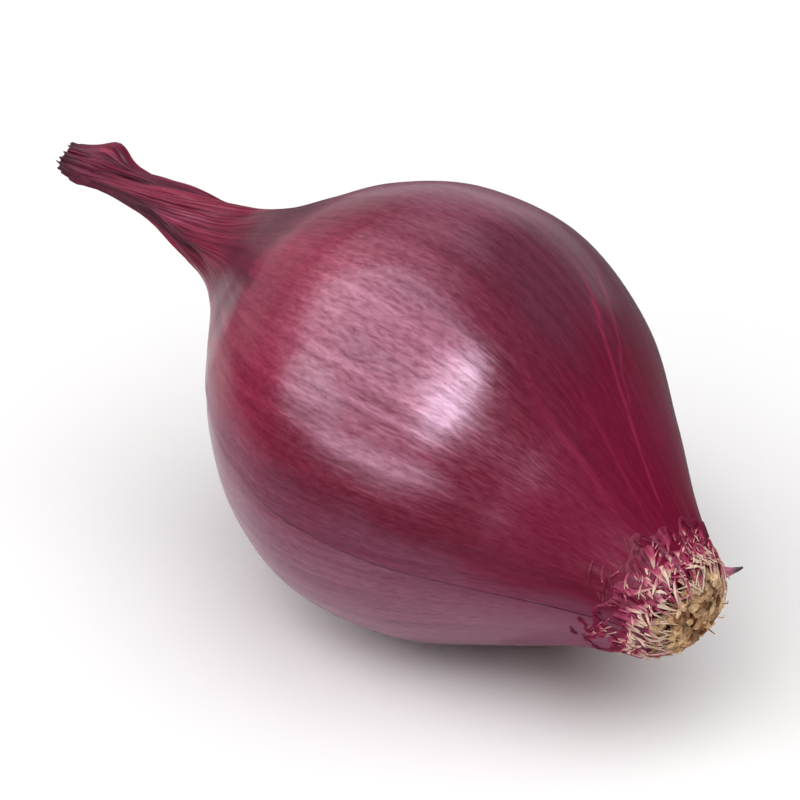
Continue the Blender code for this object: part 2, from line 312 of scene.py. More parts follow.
def turned_outline():
    """The outline spun round the axis, starting at the lapped edge, still a plain round form."""
    rings = round((NECK_END - RIM_HEIGHT) / RING_STEP)
    heights = [RIM_HEIGHT + (NECK_END - RIM_HEIGHT) * step / rings for step in range(rings + 1)]
    floor_radius = SOCKET_RADIUS * SOCKET_TAPER
    outline = [(0, SOCKET_FLOOR), (floor_radius, SOCKET_FLOOR), (SOCKET_RADIUS, RIM_HEIGHT)]
    outline += [(smooth_through(OUTLINE, height), height) for height in heights]
    outline += [(0, NECK_END - TIP_HOLLOW)]
    bm = bmesh.new()
    profile = [bm.verts.new((radius * MM, 0, height * MM)) for radius, height in outline]
    bmesh.ops.rotate(bm, verts=profile, cent=(0, 0, 0), matrix=Matrix.Rotation(LAP_ANGLE, 3, "Z"))
    spin_profile(bm, profile, SKIN_STEPS, SAME_PLACE)
    return bm


def shape_skin(bm):
    """Puts each vertex on the skin, and keeps its height, its turn past the lapped edge and how
    deep in a crease it lies."""
    turns = bm.verts.layers.float.new("turn")
    heights = bm.verts.layers.float.new("height")
    creased = bm.verts.layers.float.new("creased")
    for vert in bm.verts:
        height = vert.co.z / MM
        away = vert.co.xy.length / MM
        turn = (math.atan2(vert.co.y, vert.co.x) - LAP_ANGLE) % math.tau
        if turn > math.tau - NEAR_TURN:
            turn = 0.0
        if turn > math.tau - 1.5 * COLUMN_TURN:
            turn = math.tau - EDGE_GAP
        vert[turns] = math.degrees(turn)
        vert[heights] = height
        in_socket = height <= SOCKET_FLOOR + NEAR and away <= SOCKET_RADIUS + NEAR
        if away < NEAR:
            vert[turns] = ON_AXIS
            if height > NECK_END - TIP_HOLLOW - NEAR:
                vert.co = axis_point(height) * MM
        elif not in_socket:
            vert.co = skin_point(height, LAP_ANGLE + turn)
            vert[creased] = neck_crease(height, LAP_ANGLE + turn)


def cut_flat_spot(bm):
    """Lays the skin down and takes off the low belly along the surface it lies on."""
    bmesh.ops.transform(bm, matrix=LAID_DOWN, verts=bm.verts)
    cut = bmesh.ops.bisect_plane(
        bm,
        geom=bm.verts[:] + bm.edges[:] + bm.faces[:],
        dist=SAME_LEVEL,
        plane_co=(0, 0, 0),
        plane_no=(0, 0, 1),
        clear_inner=True,
    )
    rim = [item for item in cut["geom_cut"] if isinstance(item, bmesh.types.BMEdge)]
    bmesh.ops.contextual_create(bm, geom=rim)


skin_mesh = turned_outline()
shape_skin(skin_mesh)
cut_flat_spot(skin_mesh)
print("skin has", len(skin_mesh.faces), "faces; lowest point", min(v.co.z for v in skin_mesh.verts))

# %% Write the grain and the place on the skin
GRAIN_SLANT = math.radians(0.85)
SHARP_FROM = math.radians(50)


def write_grain(bm):
    """Gives each corner its place, a map of its own, and a vector in millimetres along the veins."""
    turns = bm.verts.layers.float["turn"]
    heights = bm.verts.layers.float["height"]
    creased = bm.verts.layers.float["creased"]
    place = bm.loops.layers.float_vector.new("place")
    grain = bm.loops.layers.float_vector.new("grain")
    unrolled = bm.loops.layers.uv.new("OFBake")
    for face in bm.faces:
        known = [loop.vert[turns] for loop in face.loops if loop.vert[turns] >= 0]
        middle = sum(known) / len(known)
        wrapped = max(known) - min(known) > 180
        if wrapped:
            middle = 360.0
        for loop in face.loops:
            turn = loop.vert[turns]
            height = loop.vert[heights]
            if turn < 0:
                turn = middle
            elif wrapped and turn < 180:
                turn += 360
            angle = LAP_ANGLE + math.radians(turn) + GRAIN_SLANT * (height - REST_HEIGHT_ON_AXIS)
            loop[place] = (turn, height, loop.vert[creased])
            loop[grain] = polar(BELLY_RADIUS, angle, height)
            loop[unrolled].uv = (turn / 360, height / (NECK_END + 1))


def linked(name, data):
    """A new object of the scene with this mesh, light or camera."""
    made = bpy.data.objects.new(name, data)
    bpy.context.scene.collection.objects.link(made)
    return made


def new_mesh(name, bm):
    """A mesh with what was modelled."""
    mesh = bpy.data.meshes.new(name)
    bm.to_mesh(mesh)
    bm.free()
    return mesh


def new_piece(name, bm):
    """A finished piece of the onion: its object at the origin, riding with the solids."""
    piece = linked(name, new_mesh(name, bm))
    piece.data.shade_smooth()
    piece.data.set_sharp_from_angle(angle=SHARP_FROM)
    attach(piece, "root")
    return piece


write_grain(skin_mesh)
dry_skin = new_piece("dry_skin", skin_mesh)
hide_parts("bulb")
print("dry skin:", len(dry_skin.data.vertices), "vertices")

# %% [markdown]
# ## Colours and nodes
#
# Two small tools serve every finish: one turns an sRGB colour, as a colour picker gives it, into
# the linear values that the shader works with, and one adds a node with its settings and links.
# A third lays coloured marks over a ground, each as strong as some pattern says at that place.

# %% Tools for the finishes
PLANT_IOR = 1.4
FRAYED_SHINE = 0.05
COLOURS = {"data_type": "RGBA", "out": 2}
TINTED = {"data_type": "RGBA", "blend_type": "MULTIPLY", "out": 2}


def linear(code):
    """A linear colour, with alpha, from an sRGB hex code."""
    parts = [int(code[place : place + 2], 16) / 255 for place in (1, 3, 5)]
    shades = [part / 12.92 if part <= 0.04045 else ((part + 0.055) / 1.055) ** 2.4 for part in parts]
    return (*shades, 1)


def add(tree, kind, links, out=0, **settings):
    """Adds a node with its settings, and returns one of its outputs, mostly the first. Each of its
    sockets gets a value or another node's output."""
    node = tree.nodes.new("ShaderNode" + kind)
    for name, value in settings.items():
        setattr(node, name, value)
    for socket, value in links.items():
        if isinstance(value, bpy.types.NodeSocket):
            tree.links.new(value, node.inputs[socket])
        else:
            node.inputs[socket].default_value = value
    return node.outputs[out]


def with_marks(tree, ground, marks):
    """A ground colour with marks over it. A mark has its colour, the pattern that it is read from,
    the values where it starts and is full, its share, how it comes, and what keeps it in place."""
    for colour, pattern, start, full, share, way, *kept_to in marks:
        read = {"Value": pattern, "From Min": start, "From Max": full, "To Max": share}
        mark = add(tree, "MapRange", read, interpolation_type=way)
        for part in kept_to:
            mark = add(tree, "Math", {0: mark, 1: part}, operation="MULTIPLY")
        ground = add(tree, "Mix", {0: mark, 6: ground, 7: linear(colour)}, **COLOURS)
    return ground


def new_finish(name, roughness, ior, shine):
    """A material with its Principled shader, ready for colour and relief. A shine of 0.5 is that
    of a clean surface, and less is what dust and dead cells leave of it."""
    material = bpy.data.materials.new(name)
    material.use_nodes = True
    shader = material.node_tree.nodes["Principled BSDF"]
    shader.inputs["Roughness"].default_value = roughness
    shader.inputs["IOR"].default_value = ior
    shader.inputs["Specular IOR Level"].default_value = shine
    shader.inputs["Metallic"].default_value = 0.0
    return material, material.node_tree, shader


print("a mid grey, linear:", [round(value, 3) for value in linear("#808080")])

# %% [markdown]
# ## The finish of the dry skin
#
# The outer scale of a red onion dries to a thin, tough, satin film. Its colour sits in the cells
# under a clear cuticle, which gives soft white reflections on a wine-red ground. Fine veins run
# from root to neck, so noise is read along the grain vector and stretched along it: broad
# streaks a few millimetres wide, fine ones half a millimetre wide, and rows of tiny cells.

# %% Grain of the skin
DUSTY_SHINE = 0.2
# A waxy cuticle over dyed cells: the eye sees a deep red through it and soft, bluish highlights
skin, tree, shader = new_finish(
    "dry_onion_scale_wine_red", roughness=0.22, ior=PLANT_IOR, shine=DUSTY_SHINE
)
shader.inputs["Specular Tint"].default_value = linear("#DCE7FB")
shader.inputs["Sheen Weight"].default_value = 0.12
shader.inputs["Sheen Roughness"].default_value = 0.4
shader.inputs["Sheen Tint"].default_value = linear("#E0B8CC")
place = add(tree, "Attribute", {}, "Vector", attribute_name="place")
grain = add(tree, "Attribute", {}, "Vector", attribute_name="grain")
turn_at, height_at, crease_at = add(tree, "SeparateXYZ", {0: place}).node.outputs
object_place = add(tree, "TexCoord", {}, "Object")

STREAK_STRETCH = (1, 1, 0.045)
CELL_STRETCH = (1, 1, 0.32)
long_grain = add(tree, "VectorMath", {0: grain, 1: STREAK_STRETCH}, operation="MULTIPLY")
short_grain = add(tree, "VectorMath", {0: grain, 1: CELL_STRETCH}, operation="MULTIPLY")

# Patterns: how the noise is read, along the veins or in short cells, and its width in millimetres.
# Real cells are finer than 0.1 mm, too fine to show in the render, and are drawn coarser.
PATTERNS = ((long_grain, 2.6), (long_grain, 0.5), (short_grain, 0.15))
MOTTLE_WIDTH = 6
broad, fine, cells = [
    add(tree, "TexNoise", {"Vector": way, "Scale": 1 / width, "Detail": 3.0})
    for way, width in PATTERNS
]
mottled = {"Vector": object_place, "Scale": 1 / (MOTTLE_WIDTH * MM), "Detail": 4.0}
mottle = add(tree, "TexNoise", mottled)
print("skin grain has", len(tree.nodes), "nodes")

# %% [markdown]
# ## Where the skin changes colour
#
# The skin isn't one red. It is rosier on one shoulder, browned where it was pressed as it dried,
# crimson towards the root end and the neck, and dark at the withered tip. Round the lapped edge,
# where the younger scale below the outer one shows, it is lilac: partly that scale's own colour and
# partly a painted reflection of the white floor on the low flank. Painted shade darkens the hollow
# at the base of the neck and one side of the neck. It could be painted by hand. Here each of these
# is a zone in degrees past the lapped edge and in millimetres of height, which is easy to move, and
# noise moves its borders, so none of them is a straight line.

# %% Ground colour
GROUND = (
    ("#6C1733", mottle, 0.4, 0.65, 1.0, "SMOOTHSTEP"),
    ("#470E22", broad, 0.45, 0.75, 0.5, "SMOOTHSTEP"),
)
# Wander: the noise, how far it moves a border in degrees or mm, and along what
WANDER = ((mottle, 26, turn_at), (broad, 5, height_at))

ground = with_marks(tree, linear("#661029"), GROUND)
moved = []
for pattern, size, straight in WANDER:
    off = add(tree, "Math", {0: pattern, 1: size, 2: -size / 2}, operation="MULTIPLY_ADD")
    moved.append(add(tree, "Math", {0: off, 1: straight}, operation="ADD"))
print("ground colours:", 1 + len(GROUND))

# %% Zones
ANY_TURN = (-90, -89, 450, 451)
# Zones: colour, share, turn where it starts, is full, ends to be full and stops, heights likewise
ZONES = (
    ("#8A1C40", 0.6, (-10, 12, 62, 88), (18, 22, 28, 33)),
    ("#5A2E40", 0.7, (72, 98, 160, 200), (9, 14, 17, 20)),
    ("#7A4058", 0.6, (80, 102, 170, 205), (16.5, 19, 26, 30)),
    # Lilac round the lapped edge: the younger scale's own colour with a painted reflection of the white
    # floor
    ("#86586F", 0.75, (280, 318, 338, 385), (-2, 3, 27, 32)),
    ("#723E56", 0.6, (-90, -89, 2, 15), (-2, 3, 24, 30)),
    ("#700F30", 0.6, (30, 45, 300, 340), (-2, -1, 6, 12)),
    ("#84283F", 0.8, ANY_TURN, (29, 33, 60, 61)),
    # Painted shade in the hollow at the base of the neck
    ("#4A1428", 0.75, (5, 25, 130, 170), (26, 28, 29.6, 32.5)),
    # Painted shade on one side of the neck
    ("#4E1C2C", 0.7, (5, 25, 48, 62), (33, 35, 39, 41)),
    ("#A8506C", 0.6, (58, 66, 76, 86), (33, 35, 41, 42.5)),
    ("#36201F", 0.8, ANY_TURN, (42.4, 44.0, 60, 61)),
)


def within(tree, value, start, full, leaves, stops):
    """1 from where a value is full to where it leaves, and 0 before its start and after it stops."""
    borders = []
    for near, far in ((start, full), (stops, leaves)):
        read = {"Value": value, "From Min": near, "From Max": far}
        borders.append(add(tree, "MapRange", read, interpolation_type="SMOOTHSTEP"))
    return add(tree, "Math", {0: borders[0], 1: borders[1]}, operation="MULTIPLY")


for colour, share, turns, heights in ZONES:
    inside = share
    for value, borders in zip(moved, (turns, heights)):
        part = within(tree, value, *borders)
        inside = add(tree, "Math", {0: part, 1: inside}, operation="MULTIPLY")
    ground = add(tree, "Mix", {0: inside, 6: ground, 7: linear(colour)}, **COLOURS)
print("zones:", len(ZONES))

# %% [markdown]
# ## Veins, the lapped edge and the relief
#
# On top of the zones come the small marks. A pale vein is drawn wherever the streak noise passes
# through its middle value, which it does along thin lines that follow the grain. The lapped edge
# throws a hair of painted shadow on the scale below, and painted shade darkens the creases. Rows
# of dry cells give the highlight its grain, so they tint the colour, the shine and the bump alike.

# %% What changes with the height
NECK_SHINE = 0.04
MIDDLE = 0.5
# Ranges: height where it starts and where it ends, the values there, and how it goes between them
HEIGHT_RANGES = (
    (5, 12, 0.3, 1, "LINEAR"),
    (6, 3.6, 0, 1, "SMOOTHSTEP"),
    (30, 24, 0, 1, "SMOOTHSTEP"),
    (29, 33, 0, 1, "LINEAR"),
    (24.5, 28, DUSTY_SHINE, NECK_SHINE, "LINEAR"),
    (3.5, 9, 0.25, 1, "LINEAR"),
)
calm, near_root, below_neck, on_neck, neck_shine, root_shine = [
    add(
        tree, "MapRange",
        {"Value": height_at, "From Min": start, "From Max": end, "To Min": first, "To Max": last},
        interpolation_type=way
    )
    for start, end, first, last, way in HEIGHT_RANGES
]
# The fine streaks run together towards the root and calm down there
fine = add(tree, "Math", {0: fine, 1: MIDDLE}, operation="SUBTRACT")
fine = add(tree, "Math", {0: fine, 1: calm, 2: MIDDLE}, operation="MULTIPLY_ADD")
print("ranges along the height:", len(HEIGHT_RANGES))

# %% Single veins
VEIN = "#8C2248"
VEIN_HEIGHT = 10
VEIN_WANDER = 8
# Single veins: turn at VEIN_HEIGHT, degrees more for each mm up, half width, heights, share
SINGLE_VEINS = (
    (107.0, 1.5, 1.5, (4, 5, 12, 17), 0.8),
    (111.5, 2.6, 1.2, (8, 9, 14, 18), 0.5),
    (75.0, 1.0, 3.4, (5, 6, 10, 13), 0.35),
    (90.0, 0.9, 1.5, (4, 5, 8, 11), 0.3),
)
for turn, slope, half, heights, share in SINGLE_VEINS:
    run = {0: height_at, 1: slope, 2: turn - VEIN_HEIGHT * slope}
    aside = add(tree, "Math", run, operation="MULTIPLY_ADD")
    aside = add(tree, "Math", {0: turn_at, 1: aside}, operation="SUBTRACT")
    aside = add(tree, "Math", {0: broad, 1: VEIN_WANDER, 2: aside}, operation="MULTIPLY_ADD")
    aside = add(tree, "Math", {0: aside, 1: VEIN_WANDER / 2}, operation="SUBTRACT")
    aside = add(tree, "Math", {0: aside}, operation="ABSOLUTE")
    part = within(tree, height_at, *heights)
    ground = with_marks(tree, ground, [(VEIN, aside, half, 0, share, "SMOOTHSTEP", part)])
print("single veins:", len(SINGLE_VEINS))

# %% Marks of the skin
off_middle = add(tree, "Math", {0: broad, 1: MIDDLE}, operation="SUBTRACT")
off_middle = add(tree, "Math", {0: off_middle}, operation="ABSOLUTE")
# Pale veins all over, pink streaks near the root, painted shade in the creases, a painted shadow
# of the lapped edge, and dark threads of shrunken tissue on the neck
MARKS = (
    (VEIN, off_middle, 0.012, 0.0, 0.12, "SMOOTHSTEP"),
    ("#A02C54", fine, 0.5, 0.65, 0.6, "SMOOTHSTEP", near_root),
    # Painted shade, deepest in the creases of the neck
    ("#3A1420", crease_at, 0.2, 0.75, 0.85, "LINEAR"),
    ("#2A0712", turn_at, 358.2, 359.4, 0.8, "SMOOTHSTEP", below_neck),
    ("#3E1224", fine, 0.56, 0.4, 0.7, "LINEAR", on_neck),
)
ground = with_marks(tree, ground, MARKS)
print("marks:", len(MARKS))

# %% Tone, relief and shine
NOISE_LOW, NOISE_HIGH = 0.3, 0.7
# Relief in millimetres: of the streaks, of the cells, and more of the streaks on the neck
STREAK_RELIEF, CELL_RELIEF, NECK_RELIEF = 0.008, 0.004, 0.035
# Variation: the pattern, and what its lowest and its highest values give. The first two rows
# multiply the colour, the next two the shine, and the last is the roughness.
VARIATION = (
    (fine, 0.86, 1.14),
    (cells, 0.87, 1.13),
    (fine, 0.68, 1.32),
    (cells, 0.6, 1.4),
    (cells, 0.215, 0.26),
)
streak_tone, cell_tone, streak_shine, cell_shine, worn = [
    add(
        tree, "MapRange",
        {"Value": pattern, "From Min": NOISE_LOW, "From Max": NOISE_HIGH, "To Min": least, "To Max": most}
    )
    for pattern, least, most in VARIATION
]
for tone in (streak_tone, cell_tone):
    ground = add(tree, "Mix", {0: 1.0, 6: ground, 7: tone}, **TINTED)
shine = neck_shine
for part in (root_shine, streak_shine, cell_shine):
    shine = add(tree, "Math", {0: shine, 1: part}, operation="MULTIPLY")
depth = add(tree, "Math", {0: on_neck, 1: NECK_RELIEF, 2: STREAK_RELIEF}, operation="MULTIPLY_ADD")
relief = add(tree, "Math", {0: fine, 1: depth}, operation="MULTIPLY")
relief = add(tree, "Math", {0: cells, 1: CELL_RELIEF, 2: relief}, operation="MULTIPLY_ADD")
bump = add(tree, "Bump", {"Height": relief, "Strength": 1.0, "Distance": MM})
tree.links.new(ground, shader.inputs["Base Color"])
tree.links.new(bump, shader.inputs["Normal"])
tree.links.new(worn, shader.inputs["Roughness"])
tree.links.new(shine, shader.inputs["Specular IOR Level"])
dry_skin.data.materials.append(skin)
print("skin finish has", len(tree.nodes), "nodes")

# %% [markdown]
# ## Torn skin round the root end
#
# The skins tore where the roots broke out. What is left are ragged sheets, one above the other,
# wine-red where they hold on and bleached to pink and cream at their tips. Each sheet starts as a
# spun band. A row of seeded cuts divides its lower edge into teeth of unequal width and length,
# and each tooth lifts and drifts its own way. The Solidify operator makes thorns at the sharp tips,
# so the faces are extruded instead, and the copy moves in along each vertex's own normal. That
# gives the thickness of a dry skin, a little more than life so that its edge shows.

# %% How a sheet is torn
SHEET_ROWS = 7
SHEET_THICKNESS = 0.05
# A pair is the least and the most that is drawn, and for TOOTH_RAISED the mean and the spread
TOOTH_WIDTHS = (0.3, 1.9)
TOOTH_RAISED = (0.6, 0.6)
TOOTH_DRIFT = 0.12
UNCUT = 0.12
TOP_WANDER = 0.8
TOP_WAVES = 4
SHEET_RISE = 0.08
SHEET_SINK = 0.06
RISEN_AT = 0.5
LOWEST = 1.3
HIGHEST = 43.9
ROOM_AT_END = 0.4
SAME_POINT = 1e-4


def on_skin(height, angle, rise):
    """A point on the skin or this far above it, in millimetres. Past the rim it runs straight on."""
    point = skin_point(max(height, RIM_HEIGHT), angle + neck_twist(height), rise) / MM
    point.z = height
    return point


def torn_sheet(draw, steps, top, count, reach, lift, paleness, lengths, bluntness):
    """A band of skin whose free edge is torn into teeth, which point down where reach is above 0."""
    bm = bmesh.new()
    ages = bm.verts.layers.float.new("age")
    tints = bm.verts.layers.float.new("tint")
    outwards = bm.verts.layers.float_vector.new("outwards")
    profile = [bm.verts.new((1, 0, row)) for row in range(SHEET_ROWS + 1)]
    spin_profile(bm, profile, steps, SAME_POINT)
    widths = [draw.uniform(*TOOTH_WIDTHS) for tooth in range(count)]
    full = sum(widths)
    cuts = [sum(widths[:tooth]) / full * math.tau for tooth in range(count + 1)]
    teeth = [
        (
            draw.uniform(*lengths),
            draw.uniform(*bluntness),
            draw.gauss(*TOOTH_RAISED),
            draw.gauss(0, TOOTH_DRIFT),
            draw.random(),
        )
        for tooth in range(count)
    ]
    for vert in bm.verts:
        angle = math.atan2(vert.co.y, vert.co.x) % math.tau
        tooth = max(index for index in range(count) if cuts[index] <= angle)
        across = (angle - cuts[tooth]) / (cuts[tooth + 1] - cuts[tooth])
        length, blunt, raised, drift, tint = teeth[tooth]
        down = vert.co.z / SHEET_ROWS
        hang = down * (UNCUT + (1 - UNCUT) * length * (1 - abs(2 * across - 1) ** blunt))
        start = top + TOP_WANDER * noise.noise(polar(1, angle, top) * TOP_WAVES)
        height = max(start - reach * hang, LOWEST + ROOM_AT_END * (1 - hang))
        height = min(height, HIGHEST - ROOM_AT_END * (1 - hang))
        rise = SHEET_RISE * ease(0, RISEN_AT, down) - SHEET_SINK + lift * raised * hang**2
        vert.co = on_skin(height, angle + drift * hang**2, rise)
        vert[ages] = hang
        vert[tints] = paleness + tint
    bmesh.ops.recalc_face_normals(bm, faces=bm.faces)
    bm.normal_update()
    for vert in bm.verts:
        vert[outwards] = vert.normal
    back = bmesh.ops.extrude_face_region(bm, geom=bm.faces[:], use_keep_orig=True)["geom"]
    for vert in [item for item in back if isinstance(item, bmesh.types.BMVert)]:
        vert.co -= vert[outwards] * SHEET_THICKNESS
    return bm


print("a sheet has", SHEET_ROWS, "rows and is", SHEET_THICKNESS, "mm thick")

# %% Ragged sheets
SKIN_SEED = 7
SHEET_STEPS = 420
SHEET_LENGTHS = (0.1, 1.1)
SHEET_BLUNTNESS = (0.7, 1.8)
# Sheets: height of the upper edge, number of teeth, their reach, lift of the tips, paleness
SHEETS = (
    (3.7, 66, 1.1, 0.05, -0.5),
    (3.1, 72, 1.1, 0.12, -0.1),
    (2.5, 60, 1.1, 0.08, 0.4),
)


def laid_piece(name, bm):
    """A piece modelled standing, in millimetres, laid down with the onion."""
    bmesh.ops.recalc_face_normals(bm, faces=bm.faces)
    bmesh.ops.transform(bm, matrix=LAID_DOWN @ Matrix.Scale(MM, 4), verts=bm.verts)
    return new_piece(name, bm)


draw = random.Random(SKIN_SEED)
torn_skins = []
for number, sheet in enumerate(SHEETS):
    sheet_bm = torn_sheet(draw, SHEET_STEPS, *sheet, SHEET_LENGTHS, SHEET_BLUNTNESS)
    torn_skins.append(laid_piece(f"torn_skin_{number + 1}", sheet_bm))
print("torn sheets:", sum(len(piece.data.polygons) for piece in torn_skins), "faces")

# %% [markdown]
# ## Blades and stubs
#
# Loose shreds, the dry spike, the curls over the rim and the stubs and threads of the dried roots
# are all small strips or rods that follow a short bent path. They could be curves with a bevel, but
# a curve can't carry a colour along its length so simply. One function draws them all: it starts
# from a flattened circle and extrudes it along the path. Each vertex keeps its age, from 0 at the
# foot to 1 at the tip, and each piece has a tint of its own.

# %% One strip or rod along a path
SECTION_SIDES = 6
STATIONS = 6
SHARES = [station / (STATIONS - 1) for station in range(STATIONS)]


def new_growth():
    """An empty mesh whose vertices carry an age and a tint."""
    bm = bmesh.new()
    bm.verts.layers.float.new("age")
    bm.verts.layers.float.new("tint")
    return bm


def grow(bm, path, sizes, side, tint):
    """A closed strip or rod along a path in millimetres, before the onion is laid down.
    Sizes are its half width and half thickness at each point, and side is where its width goes."""
    age_layer = bm.verts.layers.float["age"]
    tint_layer = bm.verts.layers.float["tint"]
    frames = []
    for index, point in enumerate(path):
        ahead = path[min(index + 1, len(path) - 1)]
        behind = path[max(index - 1, 0)]
        along = (ahead - behind).normalized()
        across = (side - along * side.dot(along)).normalized()
        thick = along.cross(across)
        width, thickness = sizes[index]
        turn = Matrix((across, thick, along)).transposed().to_4x4()
        frames.append(Matrix.Translation(point) @ turn @ Matrix.Diagonal((width, thickness, 1, 1)))
    made = bmesh.ops.create_circle(bm, segments=SECTION_SIDES, radius=1, matrix=frames[0])
    verts = made["verts"]
    ring = list({edge for vert in verts for edge in vert.link_edges})
    bmesh.ops.contextual_create(bm, geom=ring)
    for vert in verts:
        vert[tint_layer] = tint
    for index, (before, frame) in enumerate(zip(frames, frames[1:])):
        grown = bmesh.ops.extrude_edge_only(bm, edges=ring)["geom"]
        ring = [item for item in grown if isinstance(item, bmesh.types.BMEdge)]
        verts = [item for item in grown if isinstance(item, bmesh.types.BMVert)]
        bmesh.ops.transform(bm, matrix=frame @ before.inverted(), verts=verts)
        for vert in verts:
            vert[age_layer] = (index + 1) / (len(frames) - 1)
            vert[tint_layer] = tint
    bmesh.ops.contextual_create(bm, geom=ring)


def graft(bm, part):
    """Moves a small mesh into a larger one, which is quicker than growing all of it in one mesh."""
    mesh = new_mesh("part", part)
    bm.from_mesh(mesh)
    bpy.data.meshes.remove(mesh)


def round_the_axis(angle):
    """The direction that goes round the axis at an angle."""
    return Vector((-math.sin(angle), math.cos(angle), 0))


def tapered(taper, share):
    """Width at a share of the length, from that at the foot, its growth and its thinning."""
    foot, growth, thinning = taper
    return foot + growth * share - thinning * share**2


print("a strip or rod has", STATIONS, "rings of", SECTION_SIDES, "vertices")

# %% [markdown]
# ## Loose shreds and the dry spike
#
# Between the sheets hang frayed fibres of skin in tufts. Single hairs spread evenly would look like
# fur, so each tuft has a direction and a height of its own, and its shreds differ a little from it.
# One thick end of dried scale has stayed stiff and stands out as a spike.

# %% Shreds in tufts
GOLDEN_TURN = math.pi * (3 - math.sqrt(5))
TUFTS = 58
SHREDS_A_TUFT = 9
TUFT_LOWEST, TUFT_BAND, TUFT_CROWDING = 1.9, 2.4, 1.8
TUFT_UNEVEN, TUFT_WAYS, TUFT_SPREAD = 0.15, 0.9, 0.26
FLAKE_THICKNESS = 0.03
FLAKE_HALF = 0.04
SHRED_WIDER = 0.11
SHRED_TAPER = (0.5, 1.4, 1.7)
SHRED_PALENESS = (-0.2, 0.9)
PALER_BELOW, PALER_DOWN = 2.9, 0.5
SHRED_WAYS, SHRED_SWERVE, MOST_ASLANT = 0.4, 0.9, 1.2
SHRED_REACH = (0.4, 1.15)
SHRED_LIFT = (0.0, 0.16)
SHRED_ARCH, SHRED_SINK = 2.4, 0.02
ROUND_RADIUS = 3.0

shreds = new_growth()
for tuft in range(TUFTS):
    tuft_angle = tuft * GOLDEN_TURN + draw.gauss(0, TUFT_UNEVEN)
    tuft_height = TUFT_LOWEST + TUFT_BAND * draw.random() ** TUFT_CROWDING
    tuft_way = draw.gauss(0, TUFT_WAYS)
    tuft_bm = new_growth()
    for shred in range(SHREDS_A_TUFT):
        height = tuft_height + draw.gauss(0, TUFT_SPREAD)
        turned = tuft_angle + draw.gauss(0, TUFT_SPREAD) / ROUND_RADIUS
        side = round_the_axis(turned)
        paleness = draw.uniform(*SHRED_PALENESS) + PALER_DOWN * (PALER_BELOW - height)
        way = tuft_way + draw.gauss(0, SHRED_WAYS)
        swerve = draw.gauss(0, SHRED_SWERVE)
        reach = draw.uniform(*SHRED_REACH)
        half = FLAKE_HALF + SHRED_WIDER * draw.random() ** 2
        lift = draw.uniform(*SHRED_LIFT)
        path, sizes = [], []
        for share in SHARES:
            rise = lift * math.sin(share * SHRED_ARCH) - SHRED_SINK
            path.append(on_skin(max(height, LOWEST), turned, rise))
            sizes.append((half * tapered(SHRED_TAPER, share), FLAKE_THICKNESS))
            heading = max(-MOST_ASLANT, min(MOST_ASLANT, way + swerve * share))
            height -= math.cos(heading) * reach / STATIONS
            turned += math.sin(heading) * reach / STATIONS / ROUND_RADIUS
        grow(tuft_bm, path, sizes, side, paleness)
    graft(shreds, tuft_bm)
loose_shreds = laid_piece("loose_shreds", shreds)
torn_skins.append(loose_shreds)
print("shreds:", len(loose_shreds.data.polygons), "faces")

# %% The dry spike
SPIKE_ANGLE = math.radians(70)
SPIKE_DOWN = 0.9
SPIKE_UP, SPIKE_SINK = 0.2, 0.3
SPIKE_REACH = 1.4
SPIKE_BEND = Vector((0.1, -0.1, 0.22))
SPIKE_TINT = 0.5
# Spike: share of its length, half width, half thickness
SPIKE = ((0, 0.42, 0.3), (0.3, 0.34, 0.25), (0.55, 0.2, 0.15), (0.8, 0.13, 0.1), (1, 0.05, 0.05))

spike = new_growth()
out = polar(1, SPIKE_ANGLE, -SPIKE_DOWN).normalized()
foot = on_skin(RIM_HEIGHT + SPIKE_UP, SPIKE_ANGLE, -SPIKE_SINK)
path = [foot + out * SPIKE_REACH * share + SPIKE_BEND * share**2 for share, *_ in SPIKE]
grow(spike, path, [size[1:] for size in SPIKE], round_the_axis(SPIKE_ANGLE), SPIKE_TINT)
dry_spike = laid_piece("dry_spike", spike)
print("spike:", len(dry_spike.data.polygons), "faces")

# %% [markdown]
# ## The withered tip of the neck
#
# The leaves above the neck were cut or broke off when the set had dried. What is left is a blunt
# ragged end: a few stiff leaf ends of unequal length, darkest at their tips.

# %% Leaf ends
TIP_SEED = 5
LEAF_END_STEPS = 180
LEAF_END_LENGTHS = (0.75, 1.0)
LEAF_END_BLUNTNESS = (3, 7)
# Ends: height of their foot, number, reach, lift
LEAF_ENDS = (
    (41.6, 7, 1.9, -0.02),
    (42.4, 5, 1.4, -0.25),
)

draw = random.Random(TIP_SEED)
leaf_ends = []
for number, (foot_height, count, reach, lift) in enumerate(LEAF_ENDS):
    ends = torn_sheet(
        draw, LEAF_END_STEPS, foot_height, count, -reach, lift, 0, LEAF_END_LENGTHS, LEAF_END_BLUNTNESS
    )
    leaf_ends.append(laid_piece(f"leaf_end_{number + 1}", ends))
print("leaf ends:", sum(len(piece.data.polygons) for piece in leaf_ends), "faces")

# %% [markdown]
# ## The root plate and its dried roots
#
# The roots grew from a small corky plate. They have dried, curled and broken off short, so the
# plate is hidden under a tangle of stubs of straw and brown, with dark gaps between them. The
# plate itself is a turned disc with a domed face, and the stubs are seeded all over it by the
# golden angle, which spreads them evenly, then bent each its own way.

# %% Plate
PLATE_RADIUS = 1.95
PLATE_FACE = 1.5
PLATE_BACK = 2.3
PLATE_CROWN = 0.65
PLATE_STEPS = 64
PLATE_RINGS = 8

